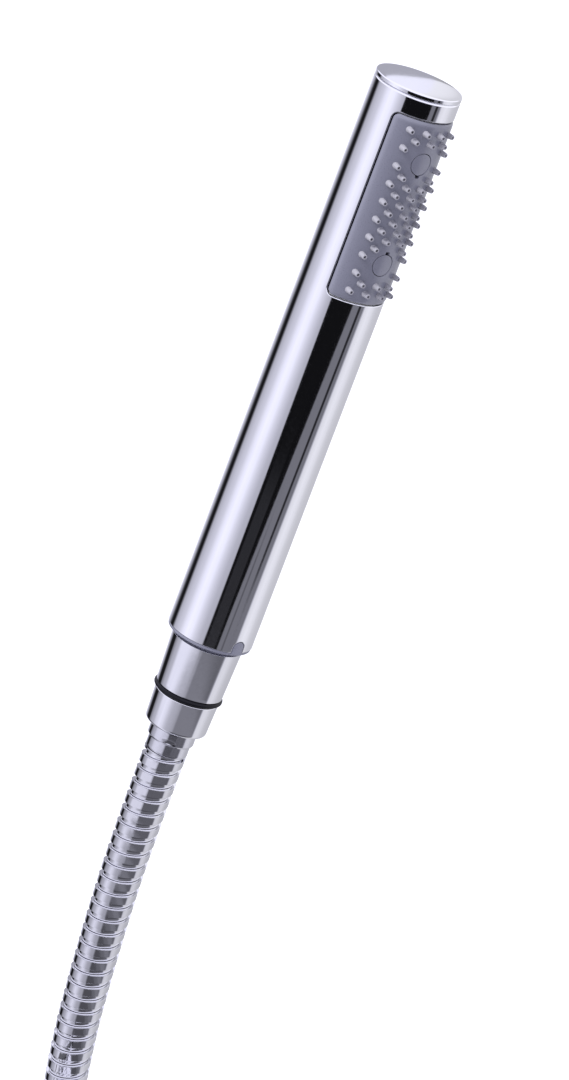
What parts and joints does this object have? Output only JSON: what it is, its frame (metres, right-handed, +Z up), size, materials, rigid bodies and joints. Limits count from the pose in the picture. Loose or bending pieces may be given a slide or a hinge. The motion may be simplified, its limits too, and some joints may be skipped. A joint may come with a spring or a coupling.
{
  "type": "handheld shower head",
  "caption": "Slim chromed baton hand shower with a curved grey nozzle face in its side, a tapered neck with a friction ring, and a ribbed metal hose coiled and tied below it.",
  "frame": {"origin": "on the handset's axis, in the plane of the friction ring, where the handset sits in its holder", "axes": "+Z up the handset towards its cap, -Y out of the spray face, +X to the right when the spray face is seen from the front"},
  "size_m": [0.1609, 0.0715, 0.5233],
  "materials": {
    "chrome": "polished",
    "ferrule_chrome": "gloss",
    "hose_metal": "gloss",
    "hose_core": "satin",
    "spray_plate_grey": "satin",
    "soft_nozzle": "satin",
    "ring_grey": "satin",
    "black_rubber": "matte",
    "tie_plastic": "matte",
    "white_plastic": "satin",
    "screw_steel": "satin",
    "brass": "satin"
  },
  "bodies": {
    "handset": {"body_tube": "chrome", "end_cap": "chrome", "cap_seal": "black_rubber", "waterway_core": "white_plastic", "spray_plate": "spray_plate_grey", "nozzle_mat": "soft_nozzle", "face_seal": "black_rubber", "post_seals": "black_rubber", "face_screws": "screw_steel", "screw_covers": "spray_plate_grey", "base_ring": "ring_grey", "inlet_connector": "chrome", "connector_seal": "black_rubber", "flow_regulator": "white_plastic", "check_valve_body": "white_plastic", "check_valve_spring": "screw_steel", "inlet_filter": "white_plastic", "friction_ring": "black_rubber", "near_washer": "black_rubber", "cone_nut": "chrome"},
    "poppet": {"check_valve_poppet": "white_plastic", "poppet_seal": "black_rubber"},
    "hose": {"near_spigot": "brass", "near_ferrule": "ferrule_chrome", "hose_lead": "hose_core", "hose_coil": "hose_core", "hose_tail": "hose_core", "hose_ties": "tie_plastic", "far_ferrule": "ferrule_chrome", "far_spigot": "brass", "far_washer": "black_rubber"},
    "wall_nut": {"wall_nut": "chrome"}
  },
  "joints": [
    {"name": "hose_swivel", "type": "hinge", "parent": "handset", "child": "hose", "pos_m": [0, 0, -0.0113], "axis": [0, 0, 1], "continuous": true},
    {"name": "poppet_lift", "type": "slide", "parent": "handset", "child": "poppet", "axis": [0, 0, 1], "range_m": [0, 0.0022], "stiffness_N_per_m": 60, "springref_m": -0.0035, "deforming": ["check_valve_spring"]},
    {"name": "wall_nut_turn", "type": "hinge", "parent": "hose", "child": "wall_nut", "pos_m": [0.0603, -0.04583, -0.3], "axis": [0, 0, 1], "continuous": true}
  ]
}
